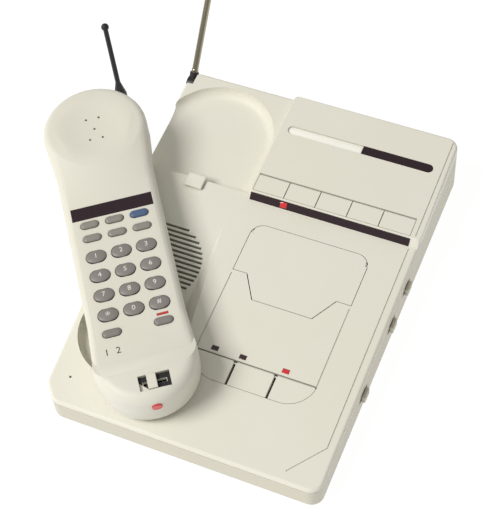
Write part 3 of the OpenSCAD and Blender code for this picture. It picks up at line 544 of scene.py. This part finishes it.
def face_outwards():
    """Makes all normals of the mesh that is open in edit mode look outwards."""
    bpy.ops.mesh.select_all(action="SELECT")
    bpy.ops.mesh.normals_make_consistent(inside=False)


def pull_apart(piece, reach):
    """Moves the two halves of a mesh apart along x, each by some millimetres: a round becomes a pill."""
    for point in piece.data.vertices:
        point.co.x += math.copysign(reach * MM, point.co.x)


def carry(piece, place):
    """Moves a finished mesh with all its points, so that the object itself stays at the origin."""
    only(piece)
    piece.matrix_world = place
    bpy.ops.object.transform_apply(location=True, rotation=True, scale=True)
    return piece


def block(name, low, high):
    """A box from one corner to another, in millimetres, as a start."""
    made = start_from(name, bpy.ops.mesh.primitive_cube_add, size=1)
    size = Vector(high) - Vector(low)
    middle = (Vector(low) + Vector(high)) / 2
    return carry(made, Matrix.Translation(middle * MM) @ Matrix.Diagonal((*(size * MM), 1)))


def rod(name, radius, z0, z1, sides=32):
    """A round bar along z, in millimetres, as a start."""
    size = {"vertices": sides, "radius": radius * MM, "depth": (z1 - z0) * MM}
    made = start_from(name, bpy.ops.mesh.primitive_cylinder_add, **size)
    return carry(made, shift(0, 0, (z0 + z1) / 2))


def twin(piece, name):
    """A copy with its own mesh."""
    made = bpy.data.objects.new(name, piece.data.copy())
    bpy.context.scene.collection.objects.link(made)
    return made


print("tools for new pieces ready")

# %% [markdown]
# ## Cases of the base
# The two cases meet in a seam under the deck. Both are copies of the solids, smoothed so that the round rims
# and the bowls of the cradle run clean. On the deck and on the raised block every sharp rim of an opening
# gets a fine bevel: the test looks at an edge's height above the deck, so hidden edges inside stay as they
# are.

# %% Cases of the base
BLOCK_HEIGHT = 4.5
LEVEL_SLACK = 0.06
to_deck = on_deck.inverted()


def on_show(spot):
    """Whether a point lies on the deck or on top of the block."""
    height = (to_deck @ spot).z / MM
    return min(abs(height), abs(height - BLOCK_HEIGHT)) < LEVEL_SLACK


top_shell = shell("base_top_case", width=0.25, least=0.3, fold=60, where=on_show)
bottom_shell = shell("base_bottom_case", width=0.3, least=4.0, fold=70)
print("base shells:", len(top_shell.data.polygons), len(bottom_shell.data.polygons), "faces")

# %% [markdown]
# ## Lid, keys, paddles and small movers
# Each is a separate moulding with a clear gap round it. The long edges get a bevel of a few tenths of a
# millimetre.

# %% Small movers of the base
EDGE = 0.35
shell("tape_lid", width=EDGE, least=2.0)
for number in range(1, 6):
    shell(f"message_key_{number}", width=EDGE, least=2.0)
for number in range(1, 4):
    shell(f"paddle_{number}", width=EDGE, least=2.0)
shell("hook_tab", width=0.5, least=1.5, segments=3)
shell("rubber_feet", width=0.5, least=0.3)
shell("dark_windows", width=0.2, least=2.0)
print("small movers done")

# %% [markdown]
# ## Liner of the long slot
# The left part of the long slot in the block has a pale floor. It is a round bar pulled apart to a long
# pill, and cut off square where the dark window begins. A thin inset makes its rim stand a hair lower than
# its face.

# %% Slot liner
SLOT_Y = 101.5
SLOT_FLOOR = 3.3
SLOT_LEFT = -13.75
WINDOW_LEFT = 38.2
WINDOW_GAP = 0.3
LINER_R = 3.1
LINER_THICK = 0.1
LINER_LIFT = 0.02
liner = rod("slot_liner", LINER_R, 0, LINER_THICK)
liner_half = (WINDOW_LEFT - SLOT_LEFT) / 2
liner_end = liner_half - LINER_R
pull_apart(liner, liner_half)
rings(liner, faces_up, [(0.25, 0.1)])
enter(liner)
cut((liner_end * MM, 0, 0), (1, 0, 0), clear_outer=True, use_fill=True)
leave()
smooth(liner)
carry(liner, on_deck @ shift(WINDOW_LEFT - WINDOW_GAP - liner_end, SLOT_Y, SLOT_FLOOR + LINER_LIFT))
finish_piece(liner, "base", slot_of["base_top_case"], finish="slot_white")
print("liner:", len(liner.data.polygons), "faces")

# %% [markdown]
# ## Ridged side knobs
# The three slides on the right wall have ridges for a finger. Their outer face is cut into strips, and every
# second strip is pushed in.

# %% Side knobs
RIDGE_STRIPS = 7
RIDGED_HALF = 3.2
RIDGE_PITCH = 2 * RIDGED_HALF / RIDGE_STRIPS
GROOVE = (0.12, -0.45)
OUTER_SLACK = 0.1


def ridged_knob(node_name):
    """A knob with grooves across its outer face, in place of its solid."""
    knob = copy_of(node_name)
    low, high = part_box(node_name)
    outer_x = high[0] / MM
    first_y = (low[1] + high[1]) / 2 / MM - RIDGED_HALF

    def in_groove(spot, normal):
        strip = math.floor((spot.y - first_y) / RIDGE_PITCH)
        outside = normal.x > FACING and spot.x > outer_x - OUTER_SLACK
        return outside and strip % 2 == 1 and 0 < strip < RIDGE_STRIPS

    soften(knob, width=0.5, least=2.0, segments=3)
    enter(knob)
    for edge in range(RIDGE_STRIPS + 1):
        cut((0, (first_y + edge * RIDGE_PITCH) * MM, 0), (0, 1, 0))
    leave()
    rings(knob, in_groove, [GROOVE])
    return stand_in(smooth(knob), node_name)


for number in range(1, 4):
    ridged_knob(f"side_knob_{number}")
print("knobs done")

# %% [markdown]
# ## Lenses and lamps
# Three small lenses sit over the paddles: the left two are unlit and look black, the right one is red. A
# fourth red lamp is in the dark strip below the message keys. A lens starts as a box, its top is inset and
# raised to a low crown.

# %% Lenses and lamps
LENS_CROWN = [(0.35, 0.18), (0.45, 0.07)]
LENS_Y = -62.9
LENS_X = {"left_lens": 3.25, "middle_lens": 21.583, "right_lens": 49.417}
STRIP_LAMP_AT = (5.0, 45.75, 2.25)
STRIP_SLOPE = math.radians(45)


def lens(name, width, depth, low, high):
    """A lens round the z axis, from a low to a high level."""
    rise = sum(step for inset, step in LENS_CROWN)
    made = block(name, (-width / 2, -depth / 2, low), (width / 2, depth / 2, high - rise))
    rings(made, faces_up, LENS_CROWN)
    return soften(made, width=0.12, least=1.0)


for name, x in LENS_X.items():
    made = lens(name, width=4.3, depth=2.9, low=-4.3, high=0.2)
    carry(made, on_deck @ shift(x, LENS_Y, 0))
    if name == "right_lens":
        finish_piece(made, "base", "red_lens", ["status_lenses"])
    else:
        finish_piece(made, "base", "dark_window", finish="dark_lens")
on_strip = on_deck @ shift(*STRIP_LAMP_AT) @ Matrix.Rotation(STRIP_SLOPE, 4, "X")
strip_lamp = lens("strip_lamp", width=4.6, depth=3.6, low=-0.2, high=0.75)
carry(strip_lamp, on_strip)
finish_piece(strip_lamp, "base", "red_lens")
print("lenses:", len(LENS_X) + 1)

# %% [markdown]
# ## Aerials
# The base has a bright telescopic aerial in a black knuckle, and the handset a slim black whip with a ball
# end. Two thin collars sit on the tube, one at its foot and one where the inner section slides out.

# %% Aerials
AERIAL_AT = (-94.25, 124.5, 28.5)
LEAN = math.radians(38)
COLLAR_R = 2.2
COLLAR_LONG = 1.6
COLLAR_STEP = (0.35, 0.22)
COLLAR_AT = {"tube_collar_low": 8.6, "tube_collar_high": 131.0}
for node_name in ("aerial_knuckle", "aerial_tube", "aerial_tip", "handset_aerial"):
    shell(node_name)
on_aerial = shift(*AERIAL_AT) @ Matrix.Rotation(-LEAN, 4, "X")
for name, height in COLLAR_AT.items():
    collar = rod(name, COLLAR_R, 0, COLLAR_LONG)
    rings(collar, faces_aside, [COLLAR_STEP])
    carry(smooth(collar), on_aerial @ shift(0, 0, height))
    finish_piece(collar, "aerial", "bright_metal")
print("collars:", len(COLLAR_AT))

# %% [markdown]
# ## Cases of the handset
# The handset's round ends come from faceted solids. Merged and smoothed they read as one soft moulding.

# %% Cases of the handset
for node_name in ("handset_front", "handset_back", "battery_cover"):
    shell(node_name)
shell("handset_band", width=0.2, least=1.0)
shell("handset_lens", width=0.3, least=1.0)
print("handset shells done")

# %% [markdown]
# ## Slide switch
# The switch runs in a shallow recess whose floor is black. The floor is a thin plate with a slot for the
# switch's neck: a plane is cut into nine faces, the middle one is taken out, and its left end is cut off at
# a slant. Solidify gives it a thickness.

# %% Slide switch
SWITCH_AT = (3.0, -74.0, 3.0)
PLATE_SIZE = (18.6, 9.8)
PLATE_THICK = 0.1
NECK_SLOT = (7.3, 1.3)
SLANT_X = -7.9
SLANT = (-9.8, -2.8, 0)
plate = start_from("switch_plate", bpy.ops.mesh.primitive_plane_add, size=1)
carry(plate, Matrix.Diagonal((PLATE_SIZE[0] * MM, PLATE_SIZE[1] * MM, 1, 1)))
enter(plate)
for axis, reach in enumerate(NECK_SLOT):
    facing = Vector()
    facing[axis] = 1
    for side in (-1, 1):
        cut(facing * side * reach * MM, facing)
leave()
pick_faces(plate, lambda spot, normal: abs(spot.x) < NECK_SLOT[0] and abs(spot.y) < NECK_SLOT[1])
bpy.ops.mesh.delete(type="FACE")
cut((SLANT_X * MM, 0, 0), SLANT, clear_outer=True)
leave()
thick = plate.modifiers.new("thickness", "SOLIDIFY")
thick.thickness = PLATE_THICK * MM
thick.offset = 1
apply(plate, thick)
carry(plate, on_handset @ shift(*SWITCH_AT))
finish_piece(plate, "handset", "black_plastic")
shell("talk_switch", width=0.45, least=1.0, segments=3)
print("switch plate:", len(plate.data.polygons), "faces")

# %% [markdown]
# ## Key caps
# A digit key is an oval dome, a function key a longer pill. Each cap starts as a cylinder, and its top is
# inset and raised in rings to a crown. Only then is it stretched to an oval or pulled apart to a pill,
# because rings on a round top never cross. Below the case it spreads to a rim, with a stub that works the
# switch.

# %% Key caps
SHOULDER = 0.5
RIM_TOP = -3.0
RIM_LOW = -4.0
RIM_EXTRA = 1.6
STUB_LOW = -6.9
STUB_R = 1.8
CAP_SIDES = 48
DOME = [(0.25, 0.22), (0.45, 0.24), (0.7, 0.22), (0.9, 0.18), (0.9, 0.10), (0.7, 0.04)]
PILL = [(0.2, 0.25), (0.3, 0.28), (0.5, 0.25), (0.6, 0.15), (0.6, 0.07)]


def spread(across, along, level):
    """Extrudes the picked faces in place and stretches the new ones."""
    bpy.ops.mesh.extrude_region_move()
    bpy.ops.transform.resize(value=(across, along, 1), center_override=(0, 0, level * MM))


def sink(depth):
    """Extrudes the picked faces straight down, in millimetres."""
    bpy.ops.mesh.extrude_region_move(TRANSFORM_OT_translate={"value": (0, 0, -depth * MM)})


def key_cap(name, width, depth, oval, crown):
    """A cap round the z axis with the case's face at height 0; crown lists the rings of its top."""
    made = rod(name, depth / 2, RIM_TOP, SHOULDER, CAP_SIDES)
    rings(made, faces_up, crown)
    if oval:
        carry(made, Matrix.Diagonal((width / depth, 1, 1, 1)))
    else:
        pull_apart(made, (width - depth) / 2)
    wide = width + RIM_EXTRA
    deep = depth + RIM_EXTRA
    pick_faces(made, faces_down)
    spread(wide / width, deep / depth, RIM_TOP)
    sink(RIM_TOP - RIM_LOW)
    spread(2 * STUB_R / wide, 2 * STUB_R / deep, RIM_LOW)
    sink(RIM_LOW - STUB_LOW)
    face_outwards()
    leave()
    return smooth(made)


digit_master = key_cap("digit_cap", width=12.6, depth=8.8, oval=True, crown=DOME)
pill_master = key_cap("pill_cap", width=11.6, depth=5.2, oval=False, crown=PILL)
print("cap faces:", len(digit_master.data.polygons), len(pill_master.data.polygons))

# %% [markdown]
# ## Keys on the handset
# The keys stand in three columns. Both caps are copied to their places, each copy with its own mesh, so that
# every key can be pressed alone. The two masters are then taken away.

# %% Keys on the handset
COLUMN = 15.8
DIGIT_ROW = 14.1
FUNCTION_TOP = 45.25
FUNCTION_ROW = 10
LOWER_V = -33.84
digit_names = ["1", "2", "3", "4", "5", "6", "7", "8", "9", "star", "0", "hash"]
key_at = {}
for place, label in enumerate(digit_names):
    row, column = divmod(place, 3)
    key_at[f"digit_key_{label}"] = (digit_master, (column - 1) * COLUMN, (1.5 - row) * DIGIT_ROW)
for place in range(6):
    row, column = divmod(place, 3)
    spot = ((column - 1) * COLUMN, FUNCTION_TOP - FUNCTION_ROW * row)
    key_at[f"function_key_{place + 1}"] = (pill_master, *spot)
key_at["lower_key_1"] = (pill_master, -COLUMN, LOWER_V)
key_at["lower_key_2"] = (pill_master, COLUMN, LOWER_V)
for node_name, (master, u, v) in key_at.items():
    cap = carry(twin(master, node_name + "_cap"), on_handset @ shift(u, v, 0))
    stand_in(smooth(cap), node_name)
for master in (digit_master, pill_master):
    bpy.data.objects.remove(master)
print("caps:", len(key_at))

# %% [markdown]
# ## Numbers on the keys
# The keys carry plain white numbers, a star and a hash. Each is a text object with a hair of thickness, made
# a mesh, and set into the crown of its key, so that it moves when the key is pressed. Two small dark numbers
# and a red bar are printed on the case below the keys.

# %% Numbers
SIGN_OF = {"star": "*", "hash": "#"}
SIZE_PER_HEIGHT = 1.4
SIGN_THICK = 0.04
SIGN_STEPS = 4
DIGIT_HEIGHT = 3.3
STAR_HEIGHT = 5.0
CROWN = SHOULDER + sum(rise for inset, rise in DOME)
SUNK = 0.02
SIGN_UP = 0.2
CASE_SIGN_HEIGHT = 4.4
CASE_SIGN_AT = {"1": (-21.0, -46.0, 0.01), "2": (-14.0, -46.0, 0.01)}
BAR_HALF = (3.6, 0.9)
BAR_THICK = 0.05
BAR_AT = (COLUMN + 0.2, -28.9, 0)


def sign(name, text, height):
    """A plain sign, upright in the xy plane, with its middle at the origin."""
    made = start_from(name, bpy.ops.object.text_add)
    made.data.body = text
    made.data.size = height * MM * SIZE_PER_HEIGHT
    made.data.extrude = SIGN_THICK * MM
    made.data.resolution_u = SIGN_STEPS
    bpy.ops.object.convert(target="MESH")
    made = bpy.context.object
    corners = [Vector(corner) for corner in made.bound_box]
    middle = sum(corners, Vector()) / len(corners)
    return carry(made, Matrix.Translation(-middle))


for label in digit_names:
    node_name = f"digit_key_{label}"
    u, v = key_at[node_name][1:]
    height = STAR_HEIGHT if label == "star" else DIGIT_HEIGHT
    made = sign(f"digit_{label}_print", SIGN_OF.get(label, label), height)
    carry(made, on_handset @ shift(u, v + SIGN_UP, CROWN - SUNK))
    finish_piece(made, node_name, slot_of[node_name], finish="white_print")
for label, spot in CASE_SIGN_AT.items():
    made = sign(f"case_{label}_print", label, CASE_SIGN_HEIGHT)
    carry(made, on_handset @ shift(*spot))
    finish_piece(made, "handset", slot_of["handset_front"], finish="dark_print")
bar = block("red_bar_print", (-BAR_HALF[0], -BAR_HALF[1], 0), (*BAR_HALF, BAR_THICK))
carry(soften(bar, width=0.02, least=0.5), on_handset @ shift(*BAR_AT))
finish_piece(bar, "handset", slot_of["handset_front"], finish="red_print")
print("numbers:", len(digit_names) + len(CASE_SIGN_AT), "crown:", round(CROWN, 2), "mm")

# %% [markdown]
# ## Tape bay
# Under the lid lie the black deck with its two spindles and a small cassette. The cassette gets a toothed
# hub in each hole. A hub is a round bar whose two ends are inset and opened: the open rims are bridged to a
# bore, and every fourth face of the bore is raised to a tooth.

# %% Tape bay
TAPE_AT = (31.25, 0.9, -6.9)
HUB_X = {"tape_hub_left": -11, "tape_hub_right": 11}
HUB_R = 2.85
HUB_WALL = 0.45
HUB_LOW = -5.6
HUB_TOP = -0.5
HUB_SIDES = 24
TOOTH_EVERY = 4
TOOTH = (0.02, 0.4)
BORE_SLACK = 0.1
on_tape = on_deck @ shift(*TAPE_AT)


def open_rims(piece):
    """Leaves edit mode on, with the edges selected that have a face on one side only."""
    enter(piece)
    bpy.ops.mesh.select_mode(type="EDGE")
    bpy.ops.mesh.select_all(action="DESELECT")
    shape = bmesh.from_edit_mesh(piece.data)
    for edge in shape.edges:
        edge.select = edge.is_boundary
    bmesh.update_edit_mesh(piece.data)


def is_tooth(spot, normal):
    """Whether a face of the bore is one of those that become a tooth."""
    bore_r = HUB_R - HUB_WALL + BORE_SLACK
    in_bore = math.hypot(spot.x, spot.y) < bore_r and faces_aside(spot, normal)
    turns = math.atan2(spot.y, spot.x) / math.tau
    return in_bore and round(turns * HUB_SIDES - 0.5) % TOOTH_EVERY == 0


shell("tape_deck", width=0.4, least=3.0)
shell("micro_cassette", width=0.5, least=2.0)
for name, x in HUB_X.items():
    hub = rod(name, HUB_R, HUB_LOW, HUB_TOP, HUB_SIDES)
    pick_faces(hub, lambda spot, normal: abs(normal.z) > FACING)
    bpy.ops.mesh.inset(thickness=HUB_WALL * MM)
    bpy.ops.mesh.delete(type="FACE")
    leave()
    open_rims(hub)
    bpy.ops.mesh.bridge_edge_loops()
    face_outwards()
    leave()
    rings(hub, is_tooth, [TOOTH])
    carry(smooth(hub), on_tape @ shift(x, 0, 0))
    finish_piece(hub, "base", "ivory_plastic", finish="white_print")
print("hubs:", len(HUB_X))

# %% [markdown]
# ## Label and window of the cassette
# A pale label field without words, and a dark window between the hubs. Each is a thin plate with soft edges
# that is let into the cassette by less than a tenth of a millimetre.

# %% Label and window of the cassette
TRIM_LOW = -0.05
TRIM_TOP = 0.12
LABEL = ((-21, -13.5), (21, -6))
WINDOW = ((-6, -3.5), (6, 3.5))
cassette_trim = {"tape_label": (LABEL, "white_print"), "tape_window": (WINDOW, "dark_window")}
for name, ((low, high), finish) in cassette_trim.items():
    trim = soften(block(name, (*low, TRIM_LOW), (*high, TRIM_TOP)), width=0.08, least=1.0)
    carry(trim, on_tape)
    finish_piece(trim, "base", slot_of["micro_cassette"], finish=finish)
print("cassette trim:", len(cassette_trim))

# %% [markdown]
# ## Sockets and contacts
# The power jack has a centre pin, and the line socket four springs of plated wire. The charge contacts are
# rounded pins in the bowl of the cradle.

# %% Sockets and contacts
JACK = (61.75, 126.9, 13.0)
LINE = Vector((35.75, 126.9, 14.6))
PIN_R = 0.95
PIN_FROM = 2.0
PIN_TO = 8.9
PIN_SIDES = 24
PIN_TIP = [(0.2, 0.22)] * 3
WIRES = 4
WIRE_LOW = (-0.25, -0.2, 1.2)
WIRE_HIGH = (0.25, 0.2, 8.6)
WIRE_PITCH = 1.4
WIRE_TILT = math.radians(-16)
into_rear = Matrix.Rotation(math.radians(90), 4, "X")
pin = rod("jack_pin", PIN_R, PIN_FROM, PIN_TO, PIN_SIDES)
rings(pin, faces_down, PIN_TIP)
carry(smooth(pin), shift(*JACK) @ into_rear)
finish_piece(pin, "base", "contact_metal")
for number in range(WIRES):
    aside = (number - (WIRES - 1) / 2) * WIRE_PITCH
    wire = soften(block(f"line_wire_{number + 1}", WIRE_LOW, WIRE_HIGH), width=0.12, least=1.0)
    carry(wire, shift(LINE.x + aside, LINE.y, LINE.z) @ into_rear @ Matrix.Rotation(WIRE_TILT, 4, "X"))
    finish_piece(wire, "base", "contact_metal")
for node_name in ("charge_contacts", "handset_contacts", "case_screws"):
    shell(node_name, width=0.25, least=0.1, fold=60)
for node_name in ("loudspeaker", "battery_pack", "earpiece", "rear_sockets", "hinge_rods"):
    shell(node_name)
print("sockets and contacts done")
